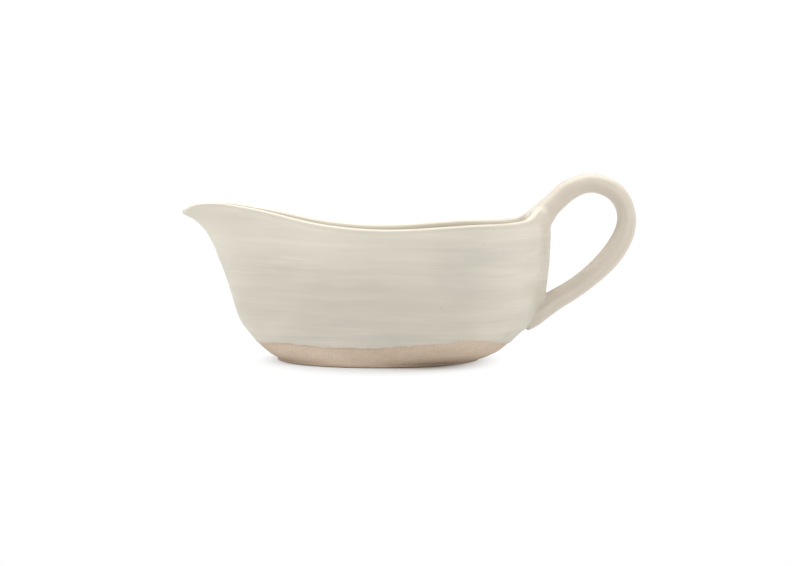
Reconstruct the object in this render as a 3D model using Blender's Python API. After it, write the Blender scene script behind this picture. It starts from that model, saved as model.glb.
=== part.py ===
"""Stoneware gravy boat: a thrown-look boat-shaped vessel with a pulled spout,
a looped strap handle luted over the rear of the rim and onto a rib down the rear wall,
and one coat of cream glaze that stops short of the bare clay foot.

Frame: +Z up, -X towards the spout, +X towards the handle, the boat symmetric across Y = 0.
The origin is below the middle of the overall length, on the surface the foot rests on.
"""

import math

import bmesh
import bpy
from mathutils import Vector

MM = 0.001

# ---------------------------------------------------------------- driving dimensions, in mm
FOOT_CENTRE_X = -15.7
FOOT_HALF_LENGTH = 50.9
FOOT_HALF_WIDTH = 36.5
FOOT_RING_WIDTH = 7.0
FOOT_RECESS = 1.4

RIM_TIP_X = -113.6        # outer edge of the rim at the spout's tip
RIM_REAR_X = 67.6         # outer edge of the rim at the handle
SIDE_BULGE = 2.6          # how far the belly stands proud between foot and rim

WALL_BELLY = 4.6
WALL_RIM = 3.6
WALL_SPOUT_TIP = 2.6
FLOOR_TOP_Z = 6.6

STRAP_WIDTH = 15.0
RIB_WIDTH = 14.0
FLUTE_DEPTH = 0.55

CLAY_GAP = 0.3            # clearance kept between separate clay members
SLIP_THICKNESS = 0.8      # luting slip between the handle's ends and what they sit on
SLIP_INSET = 0.2          # how far the slip stays inside the strap's own outline
GLAZE_UNDER = 0.25        # the coat's inner face over the clay
GLAZE_OVER = 0.70         # the coat's outer face over the clay

# Plan of the rim's outer edge: turn (degrees from the spout's tip) and half-width.
RIM_PLAN = [(0, 0), (11.5, 4.3), (22.6, 8.1), (35.5, 11.9), (48.6, 15.9), (63.7, 21.9),
            (79.6, 30.0), (95.3, 37.8), (110.0, 42.8), (121.0, 44.0), (132.2, 41.2),
            (141.4, 35.6), (151.6, 26.6), (163.0, 15.4), (180, 0)]

# Side elevation of the rim's outer edge: X and height.
RIM_HEIGHT = [(-113.6, 73.5), (-109.0, 76.5), (-101.0, 78.4), (-92.0, 78.3), (-82.0, 76.6),
              (-72.5, 74.6), (-60.3, 71.5), (-48.0, 68.6), (-36.0, 66.8), (-12.0, 65.4),
              (16.0, 66.8), (36.0, 67.9), (49.0, 68.3), (55.0, 68.9), (61.0, 69.9), (67.6, 71.6)]

# Share of the way from foot to rim edge, against share of the rim's height.
FLARE_SPOUT = [(0, 0), (0.045, 0.07), (0.106, 0.19), (0.162, 0.257), (0.203, 0.311), (0.245, 0.361),
               (0.286, 0.398), (0.348, 0.435), (0.430, 0.472), (0.534, 0.521), (0.617, 0.567),
               (0.700, 0.619), (0.782, 0.669), (0.845, 0.719), (0.906, 0.782), (0.948, 0.845),
               (0.982, 0.920), (1, 1)]
FLARE_REAR = [(0, 0), (0.025, 0.136), (0.067, 0.320), (0.102, 0.417), (0.1375, 0.506),
              (0.180, 0.600), (0.216, 0.690), (0.2595, 0.775), (0.324, 0.846), (0.407, 0.901),
              (0.538, 0.944), (0.695, 0.980), (0.845, 0.994), (1, 1)]
FLARE_SIDE = [(0, 0), (0.03, 0.19), (0.07, 0.37), (0.12, 0.54), (0.19, 0.72), (0.30, 0.88),
              (0.45, 0.97), (0.62, 1.0), (1, 1)]

# The strap between its outer and inner edges in side elevation, from the hidden root in
# the rear wall, over the rim, round the loop and down to the lower end. Last: width factor.
HANDLE_RAILS = [
    ((63.2, 63.5), (68.2, 63.0), 0.82),
    ((61.6, 69.0), (69.6, 65.2), 0.98),
    ((61.0, 74.0), (70.9, 67.6), 1.12),
    ((63.8, 77.4), (72.2, 70.6), 1.08),
    ((67.0, 80.5), (74.4, 73.8), 1.02),
    ((70.6, 83.9), (77.9, 77.4), 0.98),
    ((76.6, 88.8), (82.2, 81.3), 0.96),
    ((83.8, 92.2), (87.2, 84.1), 0.96),
    ((91.4, 93.7), (92.2, 85.1), 0.97),
    ((99.0, 92.1), (97.3, 83.9), 0.98),
    ((106.2, 88.3), (102.0, 80.9), 0.98),
    ((111.4, 81.4), (105.0, 76.2), 0.98),
    ((113.9, 72.6), (105.9, 71.4), 0.98),
    ((113.0, 63.0), (104.8, 66.1), 0.97),
    ((109.6, 55.0), (101.8, 60.3), 0.96),
    ((103.2, 46.6), (96.8, 53.6), 0.95),
    ((94.2, 38.4), (89.0, 45.6), 0.95),
    ((83.4, 30.6), (79.4, 38.4), 0.96),
    ((73.4, 24.0), (71.6, 34.0), 1.00),
    ((64.6, 17.4), (67.6, 32.2), 1.04),
    ((60.6, 15.4), (64.2, 31.4), 1.02),
]

# The rib down the rear wall: height, and how far out its face stands. It dies out at the foot of the handle.
RIB_FACE = [(15.0, 56.2), (18.5, 60.8), (21.8, 63.9), (25.7, 66.2), (30.0, 67.8), (35.0, 68.8),
            (44.0, 70.0), (56.0, 70.8), (66.4, 70.9)]
RIB_DEPTH = 5.6           # thickness, most of it buried in the wall before it is fitted to it

# Glaze line: height above the resting surface round the boat, at turns from the spout's tip.
GLAZE_LINE_MEAN = 10.2
GLAZE_LINE_WAVES = ((2, 0.40, 0.4), (3, 0.35, 1.9), (7, 0.22, 0.7), (11, 0.14, 2.6))

TURNS = 40
STRAP_POINTS = 16
STRAP_STEPS = 34
WELD_DISTANCE = 0.02


# ---------------------------------------------------------------- curves
class Spline:
    """Natural cubic spline through (x, y) points."""

    def __init__(self, points):
        self.x = [float(p[0]) for p in points]
        self.y = [float(p[1]) for p in points]
        n = len(points)
        h = [self.x[i + 1] - self.x[i] for i in range(n - 1)]
        lower, diag, upper, rhs = [0.0] * n, [1.0] * n, [0.0] * n, [0.0] * n
        for i in range(1, n - 1):
            lower[i], diag[i], upper[i] = h[i - 1], 2 * (h[i - 1] + h[i]), h[i]
            rhs[i] = 6 * ((self.y[i + 1] - self.y[i]) / h[i] - (self.y[i] - self.y[i - 1]) / h[i - 1])
        for i in range(1, n):
            f = lower[i] / diag[i - 1]
            diag[i] -= f * upper[i - 1]
            rhs[i] -= f * rhs[i - 1]
        self.m = [0.0] * n
        self.m[-1] = rhs[-1] / diag[-1]
        for i in range(n - 2, -1, -1):
            self.m[i] = (rhs[i] - upper[i] * self.m[i + 1]) / diag[i]

    def __call__(self, x):
        x = min(max(x, self.x[0]), self.x[-1])
        i = 0
        while i < len(self.x) - 2 and x > self.x[i + 1]:
            i += 1
        h = self.x[i + 1] - self.x[i]
        a, b = (self.x[i + 1] - x) / h, (x - self.x[i]) / h
        return (a * self.y[i] + b * self.y[i + 1]
                + ((a ** 3 - a) * self.m[i] + (b ** 3 - b) * self.m[i + 1]) * h * h / 6)


rim_half_width = Spline(RIM_PLAN)
rim_height = Spline(RIM_HEIGHT)
flare_spout, flare_rear, flare_side = Spline(FLARE_SPOUT), Spline(FLARE_REAR), Spline(FLARE_SIDE)


# ---------------------------------------------------------------- the vessel's surface
def fold_turn(turn):
    """A turn from 0 to 2 pi as the same turn from 0 to pi on the +Y side, and the side's sign."""
    turn %= 2 * math.pi
    return (turn, 1) if turn <= math.pi else (2 * math.pi - turn, -1)


def outer_point(turn, rise):
    """Outer face of the clay at a turn round the boat and a rise from foot (0) to rim edge (1)."""
    u, side = fold_turn(turn)
    foot = Vector((FOOT_CENTRE_X - FOOT_HALF_LENGTH * math.cos(u), FOOT_HALF_WIDTH * math.sin(u)))
    middle, half = (RIM_TIP_X + RIM_REAR_X) / 2, (RIM_REAR_X - RIM_TIP_X) / 2
    rim = Vector((middle - half * math.cos(u), rim_half_width(math.degrees(u))))
    ahead, astern = max(math.cos(u), 0) ** 2, max(-math.cos(u), 0) ** 2
    flare = (ahead * flare_spout(rise) + astern * flare_rear(rise)
             + (1 - ahead - astern) * flare_side(rise))
    plan = foot.lerp(rim, flare)
    bulge = SIDE_BULGE * math.sin(u) ** 2 * math.sin(math.pi * min(max(rise, 0), 1)) ** 1.2
    plan += bulge * Vector((-0.35 * math.cos(u), math.sin(u)))
    return Vector((plan.x, side * plan.y, rim_height(rim.x) * rise))


def normal_at(turn, rise):
    d = 1e-3
    low, high = max(rise - d, 0), min(rise + d, 1)
    along = outer_point(turn + d, rise) - outer_point(turn - d, rise)
    up = outer_point(turn, high) - outer_point(turn, low)
    return up.cross(along).normalized(), up.normalized()


def wall_at(turn, rise):
    u, _ = fold_turn(turn)
    top = WALL_SPOUT_TIP + (WALL_RIM - WALL_SPOUT_TIP) * min(1.0, (u / math.radians(55)) ** 1.4)
    blend = min(max((rise - 0.35) / 0.65, 0), 1)
    return WALL_BELLY + (top - WALL_BELLY) * blend * blend * (3 - 2 * blend)


def offset_point(turn, rise, depth):
    """A point depth under the outer face, or above it where depth is negative."""
    n, _ = normal_at(turn, rise)
    return outer_point(turn, rise) - depth * n


OUTER_RISES = [0.0, 0.024, 0.058, 0.10, 0.19, 0.26, 0.36, 0.48, 0.63, 0.77, 0.89, 0.97]
GLAZE_LINE_BAND = (0.10, 0.19)   # the two of these between which the glaze line runs
INNER_RISES = [0.95, 0.86, 0.73, 0.58, 0.43, 0.30, 0.20]
FLOOR_SHARES = [0.90, 0.72, 0.42]
LIP_STEPS = 4


def turns_list():
    return [2 * math.pi * i / TURNS for i in range(TURNS)]


def lip_rings(grow):
    """The rounded lip, from the outer face to the inner one."""
    rings = []
    for k in range(LIP_STEPS + 1):
        angle = math.pi * k / LIP_STEPS
        ring = []
        for turn in turns_list():
            n, up = normal_at(turn, 1.0)
            wall = wall_at(turn, 1.0)
            centre = outer_point(turn, 1.0) - wall / 2 * n
            ring.append(centre + (wall / 2 + grow) * (math.cos(angle) * n + 0.9 * math.sin(angle) * up))
        rings.append(ring)
    return rings


def inner_rings(grow):
    """The inside, from under the lip down over the floor, and the floor's middle point."""
    rings = [[offset_point(t, rise, wall_at(t, rise) + grow) for t in turns_list()] for rise in INNER_RISES]
    edge = rings[-1]
    middle = Vector((FOOT_CENTRE_X, 0, FLOOR_TOP_Z + grow))
    for share in FLOOR_SHARES:
        ring = []
        for p in edge:
            q = middle.lerp(p, share)
            q.z = middle.z + (p.z - middle.z) * share ** 3.2
            ring.append(q)
        rings.append(ring)
    return rings, middle


def foot_rings(grow):
    """The base, from its middle out to the foot's outer edge."""
    def ellipse(inset, z):
        return [Vector((FOOT_CENTRE_X - (FOOT_HALF_LENGTH - inset) * math.cos(t),
                        (FOOT_HALF_WIDTH - inset) * math.sin(t), z)) for t in turns_list()]
    recess = FOOT_RECESS - grow
    return (Vector((FOOT_CENTRE_X, 0, recess)),
            [ellipse(FOOT_HALF_WIDTH * 0.55, recess), ellipse(FOOT_RING_WIDTH + 1.2 + grow, recess),
             ellipse(FOOT_RING_WIDTH + grow, -grow), ellipse(0.8 - grow, -grow)])


def vessel_rings(grow=0.0):
    start, rings = foot_rings(grow)
    rings = list(rings)
    for rise in OUTER_RISES:
        ring = [offset_point(t, rise, -grow) for t in turns_list()]
        if rise == 0.0:
            for p in ring:
                p.z = 0.7 - grow
        rings.append(ring)
    rings += lip_rings(grow)
    inner, middle = inner_rings(grow)
    return start, rings + inner, middle


def glaze_line(turn):
    z = GLAZE_LINE_MEAN
    for waves, height, phase in GLAZE_LINE_WAVES:
        z += height * math.sin(waves * turn + phase)
    return z


def coat_rings(grow):
    """One face of the coat: from the glaze line up over the lip and down over the floor."""
    low, high = GLAZE_LINE_BAND
    start = []
    for t in turns_list():
        share = (glaze_line(t) / outer_point(t, 1.0).z - low) / (high - low)
        start.append(offset_point(t, low, -grow).lerp(offset_point(t, high, -grow), share))
    rings = [start] + [[offset_point(t, rise, -grow) for t in turns_list()] for rise in OUTER_RISES if rise >= high]
    inner, middle = inner_rings(grow)
    return rings + lip_rings(grow) + inner, middle


# ---------------------------------------------------------------- meshes
def loft(name, rings, start=None, end=None, cap_start=False, cap_end=False, turned=0):
    """A mesh through closed rings of equally many points, closed by a point or a flat cap where asked.

    Each twisted four-sided patch is split the same way wherever two lofts run parallel, so that a
    thin gap between them stays open. The first turned bands run against the others' direction.
    """
    bm = bmesh.new()
    loops = [[bm.verts.new(p * MM) for p in ring] for ring in rings]
    n = len(loops[0])
    for k, (a, b) in enumerate(zip(loops, loops[1:])):
        for i in range(n):
            j = (i + 1) % n
            if (k < turned) == (i < n // 2):
                bm.faces.new((a[i], a[j], b[i]))
                bm.faces.new((a[j], b[j], b[i]))
            else:
                bm.faces.new((a[i], a[j], b[j]))
                bm.faces.new((a[i], b[j], b[i]))
    for point, loop in ((start, loops[0]), (end, loops[-1])):
        if point is not None:
            tip = bm.verts.new(point * MM)
            for i in range(n):
                bm.faces.new((tip, loop[i], loop[(i + 1) % n]))
    if cap_start:
        bm.faces.new(loops[0])
    if cap_end:
        bm.faces.new(loops[-1])
    bmesh.ops.recalc_face_normals(bm, faces=bm.faces)
    mesh = bpy.data.meshes.new(name)
    bm.to_mesh(mesh)
    bm.free()
    mesh.shade_smooth()
    return mesh


def strap_section(half_depth, half_width, count, flute):
    """Points (across the strap's thickness, across its width) of a rounded strap with fluted sides."""
    points = []
    for i in range(count):
        a = 2 * math.pi * (i + 0.5) / count
        c, s = math.cos(a), math.sin(a)
        r = math.copysign(abs(c) ** 0.80, c)
        w = math.copysign(abs(s) ** 0.72, s)
        side = abs(w) ** 3
        groove = math.exp(-((r - 0.32) / 0.30) ** 2) + 0.8 * math.exp(-((r + 0.52) / 0.20) ** 2)
        points.append((r * half_depth, w * half_width - math.copysign(flute * side * groove, w)))
    return points


def two_rail_rings(rails, steps, width, grow, count, flute):
    """Sections between two rails in the plane Y = 0, at even steps along them."""
    knots = [0.0]
    for (o0, i0, _), (o1, i1, _) in zip(rails, rails[1:]):
        m0, m1 = (Vector(o0) + Vector(i0)) / 2, (Vector(o1) + Vector(i1)) / 2
        knots.append(knots[-1] + (m1 - m0).length)
    tracks = [Spline(list(zip(knots, values))) for values in (
        [r[0][0] for r in rails], [r[0][1] for r in rails],
        [r[1][0] for r in rails], [r[1][1] for r in rails], [r[2] for r in rails])]
    rings = []
    for k in range(steps + 1):
        s = knots[-1] * k / steps
        ox, oz, ix, iz, factor = [track(s) for track in tracks]
        outer, inner = Vector((ox, 0, oz)), Vector((ix, 0, iz))
        middle, across = (outer + inner) / 2, (outer - inner) / 2
        half = across.length
        across.normalize()
        rings.append([middle + across * (r * (half + grow) / half) + Vector((0, w, 0))
                      for r, w in strap_section(half, width / 2 * factor + grow, count, flute)])
    return rings


def handle_mesh(name, grow=0.0, rails=None, steps=STRAP_STEPS):
    rings = two_rail_rings(rails or HANDLE_RAILS, steps, STRAP_WIDTH, grow, STRAP_POINTS, FLUTE_DEPTH)
    if grow:
        along = (rings[0][0] - rings[1][0]).normalized() * grow
        rings[0] = [p + along for p in rings[0]]
        along = (rings[-1][0] - rings[-2][0]).normalized() * grow
        rings[-1] = [p + along for p in rings[-1]]
    return loft(name, rings, cap_start=True, cap_end=True)


def rib_mesh(name, grow=0.0):
    rails = []
    for z, x in RIB_FACE:
        taper = min(1.0, 0.62 + (z - RIB_FACE[0][0]) / 22)
        rails.append(((x, z), (x - RIB_DEPTH, z + 0.4), taper))
    rings = two_rail_rings(rails, 14, RIB_WIDTH, grow, 16, 0.0)
    if grow:
        rings[0] = [p - Vector((0, 0, grow)) for p in rings[0]]
        rings[-1] = [p + Vector((0, 0, grow)) for p in rings[-1]]
    return loft(name, rings, cap_start=True, cap_end=True)


def vessel_mesh(name, grow=0.0):
    start, rings, end = vessel_rings(grow)
    return loft(name, rings, start=start, end=end)


def coat_mesh(name):
    """The coat on the vessel alone: its outer face, turned back at the glaze line into its inner face."""
    under, start = coat_rings(GLAZE_UNDER)
    over, end = coat_rings(GLAZE_OVER)
    return loft(name, under[::-1] + over, start=start, end=end, turned=len(under) - 1)


# ---------------------------------------------------------------- scene
def clear_scene():
    for obj in list(bpy.data.objects):
        bpy.data.objects.remove(obj, do_unlink=True)


def material(name, colour, roughness):
    mat = bpy.data.materials.new(name)
    mat.use_nodes = True
    shader = mat.node_tree.nodes["Principled BSDF"]
    shader.inputs["Base Color"].default_value = (*colour, 1)
    shader.inputs["Roughness"].default_value = roughness
    shader.inputs["Metallic"].default_value = 0.0
    return mat


def collection(name):
    made = bpy.data.collections.new(name)
    bpy.context.scene.collection.children.link(made)
    return made


def part(name, mesh, mat, where, parent):
    obj = bpy.data.objects.new(name, mesh)
    obj.data.materials.append(mat)
    where.objects.link(obj)
    obj.parent = parent
    return obj


def cutter(name, mesh, where):
    obj = bpy.data.objects.new(name, mesh)
    where.objects.link(obj)
    obj.hide_render = True
    obj.display_type = "WIRE"
    return obj


def weld(obj):
    mod = obj.modifiers.new("weld", "WELD")
    mod.merge_threshold = WELD_DISTANCE * MM


def seat(name, grow, where):
    """Vessel and rib together, grown: what the strap's ends are trimmed to."""
    obj = cutter(name, vessel_mesh(name, grow), where)
    boolean(obj, "UNION", cutter(name + "_rib", rib_mesh(name + "_rib", grow), where))
    return obj


def boolean(obj, operation, other):
    mod = obj.modifiers.new(operation.lower() + "_" + other.name, "BOOLEAN")
    mod.operation = operation
    mod.solver = "EXACT"
    mod.object = other


def main():
    clear_scene()
    parts = collection("gravy_boat")
    cutters = collection("cutters")
    root = bpy.data.objects.new("gravy_boat_root", None)
    parts.objects.link(root)

    bare_clay = material("bare_stoneware", (0.58, 0.42, 0.30), 0.78)
    fired_clay = material("strap_stoneware", (0.60, 0.46, 0.34), 0.75)
    slip = material("luting_slip", (0.52, 0.40, 0.30), 0.8)
    cream = material("cream_glaze", (0.70, 0.66, 0.56), 0.38)

    vessel_clear = cutter("cut_vessel", vessel_mesh("cut_vessel", CLAY_GAP), cutters)
    seat_clear = seat("seat_clear", CLAY_GAP, cutters)
    seat_slip = seat("seat_slip", CLAY_GAP + SLIP_THICKNESS, cutters)
    seat_far = seat("seat_far", 2 * CLAY_GAP + SLIP_THICKNESS, cutters)

    part("vessel", vessel_mesh("vessel"), bare_clay, parts, root)

    rib = part("rear_rib", rib_mesh("rear_rib"), fired_clay, parts, root)
    boolean(rib, "DIFFERENCE", vessel_clear)
    weld(rib)

    handle = part("strap_handle", handle_mesh("strap_handle"), fired_clay, parts, root)
    boolean(handle, "DIFFERENCE", seat_far)
    weld(handle)

    # Luting slip: the film of each strap end that lies just off the clay it is stuck to.
    for name, rails in (("luting_slip_upper", HANDLE_RAILS[:7]), ("luting_slip_lower", HANDLE_RAILS[-6:])):
        film = part(name, handle_mesh(name, -SLIP_INSET, rails, 12), slip, parts, root)
        boolean(film, "INTERSECT", seat_slip)
        boolean(film, "DIFFERENCE", seat_clear)
        weld(film)

    # One coat over everything above the glaze line, hollowed where it wraps the strap and the rib.
    middle = (GLAZE_UNDER + GLAZE_OVER) / 2
    sleeve = cutter("sleeve", handle_mesh("sleeve", GLAZE_OVER), cutters)
    boolean(sleeve, "UNION", cutter("sleeve_rib", rib_mesh("sleeve_rib", GLAZE_OVER), cutters))
    boolean(sleeve, "DIFFERENCE", cutter("sleeve_vessel", vessel_mesh("sleeve_vessel", middle), cutters))
    core = cutter("core", handle_mesh("core", GLAZE_UNDER), cutters)
    boolean(core, "UNION", cutter("core_rib", rib_mesh("core_rib", GLAZE_UNDER), cutters))
    coat = part("glaze_coat", coat_mesh("glaze_coat"), cream, parts, root)
    boolean(coat, "UNION", sleeve)
    boolean(coat, "DIFFERENCE", core)
    weld(coat)


main()
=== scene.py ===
"""Looks of the stoneware gravy boat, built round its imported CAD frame."""
import math

import bpy
import numpy as np
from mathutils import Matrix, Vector
from mathutils.bvhtree import BVHTree


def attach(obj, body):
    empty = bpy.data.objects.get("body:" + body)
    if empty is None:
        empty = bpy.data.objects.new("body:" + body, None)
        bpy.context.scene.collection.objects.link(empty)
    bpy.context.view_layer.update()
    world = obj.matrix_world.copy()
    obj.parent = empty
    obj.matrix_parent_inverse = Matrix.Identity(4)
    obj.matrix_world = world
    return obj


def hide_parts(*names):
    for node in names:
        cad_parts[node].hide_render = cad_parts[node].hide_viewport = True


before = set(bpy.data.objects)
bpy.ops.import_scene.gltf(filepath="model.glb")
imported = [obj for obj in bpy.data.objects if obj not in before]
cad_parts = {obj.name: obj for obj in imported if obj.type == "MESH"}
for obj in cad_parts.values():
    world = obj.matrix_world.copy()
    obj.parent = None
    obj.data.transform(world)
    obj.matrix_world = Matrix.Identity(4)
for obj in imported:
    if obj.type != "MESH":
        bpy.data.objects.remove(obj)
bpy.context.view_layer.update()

MM = 0.001
TAU = 2 * math.pi

# ================================================================ dimensions, in mm, as in the CAD
FOOT_CENTRE_X, FOOT_HALF_LENGTH, FOOT_HALF_WIDTH = -15.7, 50.9, 36.5
FOOT_RING_WIDTH, FOOT_RECESS = 7.0, 1.4
RIM_TIP_X, RIM_REAR_X = -113.9, 67.7
SIDE_BULGE = 2.6
WALL_BELLY, WALL_RIM, WALL_SPOUT_TIP = 4.6, 3.4, 2.4
FLOOR_TOP_Z = 6.6
STRAP_WIDTH, RIB_WIDTH, FLUTE_DEPTH = 15.0, 14.0, 0.46
RIB_DEPTH = 5.6
GLAZE = 0.42              # the glaze's outer face over the clay
VOXEL = 0.75

RIM_PLAN = [(0, 0), (11.5, 4.3), (22.6, 8.1), (35.5, 11.9), (48.6, 15.9), (63.7, 21.9),
            (79.6, 30.0), (95.3, 37.8), (110.0, 42.8), (121.0, 44.0), (132.2, 41.2),
            (141.4, 35.6), (151.6, 26.6), (163.0, 15.4), (180, 0)]
RIM_HEIGHT = [(-113.9, 73.5), (-109.0, 76.5), (-101.0, 78.4), (-92.0, 78.3), (-82.0, 76.6),
              (-72.5, 74.6), (-60.3, 71.5), (-48.0, 68.6), (-36.0, 66.8), (-12.0, 65.4),
              (16.0, 66.8), (36.0, 67.9), (49.0, 68.3), (55.0, 68.8), (61.0, 69.6), (67.7, 71.6)]
REAR_LIFT = [(54.0, 0.0), (58.2, 0.3), (60.4, 1.0), (62.6, 2.1), (65.3, 3.6), (67.7, 4.6)]   # the rim swept up to the strap
FLARE_SPOUT = [(0, 0), (0.022, 0.012), (0.034, 0.045), (0.048, 0.082), (0.072, 0.128), (0.106, 0.190),
               (0.162, 0.257), (0.203, 0.311), (0.245, 0.361), (0.286, 0.398), (0.348, 0.435),
               (0.430, 0.472), (0.534, 0.521), (0.617, 0.567), (0.700, 0.619), (0.782, 0.669),
               (0.845, 0.719), (0.906, 0.782), (0.948, 0.845), (0.982, 0.920), (1, 1)]
FLARE_REAR = [(0, 0), (0.0104, 0.010), (0.025, 0.118), (0.046, 0.219), (0.067, 0.316), (0.102, 0.416),
              (0.1375, 0.506), (0.180, 0.599), (0.216, 0.690), (0.2595, 0.776), (0.324, 0.847),
              (0.407, 0.902), (0.538, 0.945), (0.695, 0.981), (0.845, 0.994), (1, 1)]
FLARE_SIDE = [(0, 0), (0.020, 0.015), (0.034, 0.15), (0.07, 0.35), (0.12, 0.53), (0.19, 0.715), (0.30, 0.88),
              (0.45, 0.97), (0.62, 1.0), (1, 1)]

# Strap: outer and inner edges in side elevation, and a width factor.
HANDLE_RAILS = [
    ((62.8, 59.5), (66.5, 59.5), 0.85), ((60.8, 64.5), (68.0, 62.5), 1.15),
    ((58.8, 69.0), (69.4, 65.0), 1.48), ((58.8, 72.7), (70.6, 67.6), 1.55),
    ((62.3, 76.1), (72.2, 70.6), 1.29), ((66.5, 79.8), (74.4, 74.0), 1.08),
    ((70.8, 83.5), (77.9, 77.6), 0.98),
    ((76.6, 88.8), (82.2, 81.3), 0.96), ((83.8, 92.2), (87.2, 84.1), 0.96),
    ((91.4, 93.7), (92.2, 85.1), 0.97), ((99.0, 92.1), (97.3, 83.9), 0.98),
    ((106.2, 88.3), (102.0, 80.9), 0.98), ((111.4, 81.4), (105.0, 76.2), 0.98),
    ((113.9, 72.6), (105.9, 71.4), 0.98), ((113.0, 63.0), (104.8, 66.1), 0.97),
    ((109.6, 55.0), (101.8, 60.3), 0.96), ((103.2, 46.6), (96.8, 53.6), 0.95),
    ((94.2, 38.4), (89.0, 45.6), 0.95), ((83.4, 30.6), (79.4, 38.4), 0.96),
    ((73.4, 24.0), (71.6, 34.0), 1.00), ((64.6, 17.2), (67.6, 32.2), 1.06),
    ((60.4, 15.0), (64.2, 31.4), 1.04),
]
RIB_FACE = [(13.6, 54.8), (16.0, 57.8), (18.5, 60.8), (21.8, 63.9), (25.7, 66.2), (30.0, 67.8), (35.0, 68.8),
            (44.0, 70.0), (56.0, 70.8), (66.4, 70.9)]

# Glaze line: turn from the spout (degrees) and height, with small waves on top.
GLAZE_LINE = [(0, 9.2), (20, 9.5), (38, 10.4), (55, 10.9), (72, 10.0), (90, 9.6), (108, 10.1), (126, 11.4),
              (140, 11.9), (155, 10.6), (170, 9.0), (186, 8.7), (206, 10.4), (216, 11.5), (223, 12.8),
              (229, 13.2), (235.6, 13.5), (239.6, 12.3), (246, 12.1), (253, 11.1), (259, 10.7), (267, 9.9),
              (275, 9.7), (292, 9.5), (301, 9.5), (310, 10.0), (319, 10.4), (328, 10.6), (342, 9.6), (360, 9.2)]
GLAZE_LINE_WAVES = ((11, 0.10, 2.6), (19, 0.08, 1.0), (31, 0.07, 4.0), (47, 0.05, 2.2))


# ================================================================ curves
class Spline:
    """Cubic through points on arrays: natural, or shape-keeping where asked."""

    def __init__(self, points, monotone=False):
        self.x = np.array([p[0] for p in points], float)
        self.y = np.array([p[1] for p in points], float)
        h, d = np.diff(self.x), np.diff(self.y) / np.diff(self.x)
        n = len(self.x)
        if monotone:
            m = np.zeros(n)
            for i in range(1, n - 1):
                if d[i - 1] * d[i] > 0:
                    w1, w2 = 2 * h[i] + h[i - 1], h[i] + 2 * h[i - 1]
                    m[i] = (w1 + w2) / (w1 / d[i - 1] + w2 / d[i])
            m[0], m[-1] = d[0], d[-1]
        else:
            a = np.zeros((n, n)); b = np.zeros(n)
            a[0, 0], a[0, 1], b[0] = 2, 1, 3 * d[0]
            a[-1, -1], a[-1, -2], b[-1] = 2, 1, 3 * d[-1]
            for i in range(1, n - 1):
                a[i, i - 1], a[i, i], a[i, i + 1] = h[i], 2 * (h[i - 1] + h[i]), h[i - 1]
                b[i] = 3 * (h[i] * d[i - 1] + h[i - 1] * d[i])
            m = np.linalg.solve(a, b)
        self.m = m

    def __call__(self, x):
        x = np.clip(np.asarray(x, float), self.x[0], self.x[-1])
        i = np.clip(np.searchsorted(self.x, x, side="right") - 1, 0, len(self.x) - 2)
        h = self.x[i + 1] - self.x[i]
        t = (x - self.x[i]) / h
        return ((2 * t ** 3 - 3 * t ** 2 + 1) * self.y[i] + (t ** 3 - 2 * t ** 2 + t) * h * self.m[i]
                + (-2 * t ** 3 + 3 * t ** 2) * self.y[i + 1] + (t ** 3 - t ** 2) * h * self.m[i + 1])


rim_half_width, rim_height = Spline(RIM_PLAN), Spline(RIM_HEIGHT)
rear_lift = Spline(REAR_LIFT, True)
flare_spout = Spline(FLARE_SPOUT, True)
flare_rear = Spline(FLARE_REAR, True)
flare_side = Spline(FLARE_SIDE, True)
glaze_height = Spline(GLAZE_LINE, True)


def glaze_line(turn):
    waves = sum(h * np.sin(w * turn + ph) for w, h, ph in GLAZE_LINE_WAVES)
    return glaze_height(np.degrees(np.mod(turn, TAU))) + waves


def smooth_step(a, b, x):
    t = np.clip((x - a) / (b - a), 0, 1)
    return t * t * (3 - 2 * t)


def unit(v):
    return v / np.maximum(np.linalg.norm(v, axis=-1, keepdims=True), 1e-12)


# ================================================================ the vessel's surface
def outer(turn, rise):
    turn, rise = np.broadcast_arrays(np.mod(turn, TAU), rise)
    side = np.where(turn <= math.pi, 1.0, -1.0)
    u = np.where(turn <= math.pi, turn, TAU - turn)
    c, s = np.cos(u), np.sin(u)
    middle, half = (RIM_TIP_X + RIM_REAR_X) / 2, (RIM_REAR_X - RIM_TIP_X) / 2
    fx, fy = FOOT_CENTRE_X - FOOT_HALF_LENGTH * c, FOOT_HALF_WIDTH * s
    rx, ry = middle - half * c, rim_half_width(np.degrees(u))
    ahead, astern = np.maximum(c, 0) ** 2, np.maximum(-c, 0) ** 2
    flare = ahead * flare_spout(rise) + astern * flare_rear(rise) + (1 - ahead - astern) * flare_side(rise)
    bulge = SIDE_BULGE * s ** 2 * np.sin(math.pi * np.clip(rise, 0, 1)) ** 1.2
    x = fx + (rx - fx) * flare - 0.35 * c * bulge
    y = fy + (ry - fy) * flare + s * bulge
    return np.stack([x, side * y, rim_height(rx) * rise + rear_lift(rx) * rise ** 9], axis=-1)


def frame_at(turn, rise):
    d = 1.5e-3
    low, high = np.maximum(rise - d, 0), np.minimum(rise + d, 1)
    along = outer(turn + d, rise) - outer(turn - d, rise)
    up = outer(turn, high) - outer(turn, low)
    return unit(np.cross(up, along)), unit(up)


def wall_at(turn, rise):
    turn = np.mod(turn, TAU)
    u = np.minimum(turn, TAU - turn)
    top = WALL_SPOUT_TIP + (WALL_RIM - WALL_SPOUT_TIP) * np.minimum(1.0, (u / math.radians(55)) ** 1.4)
    blend = smooth_step(0.35, 1.0, rise)
    return WALL_BELLY + (top - WALL_BELLY) * blend


def offset(turn, rise, depth):
    n, _ = frame_at(turn, rise)
    return outer(turn, rise) - np.asarray(depth)[..., None] * n


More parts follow.
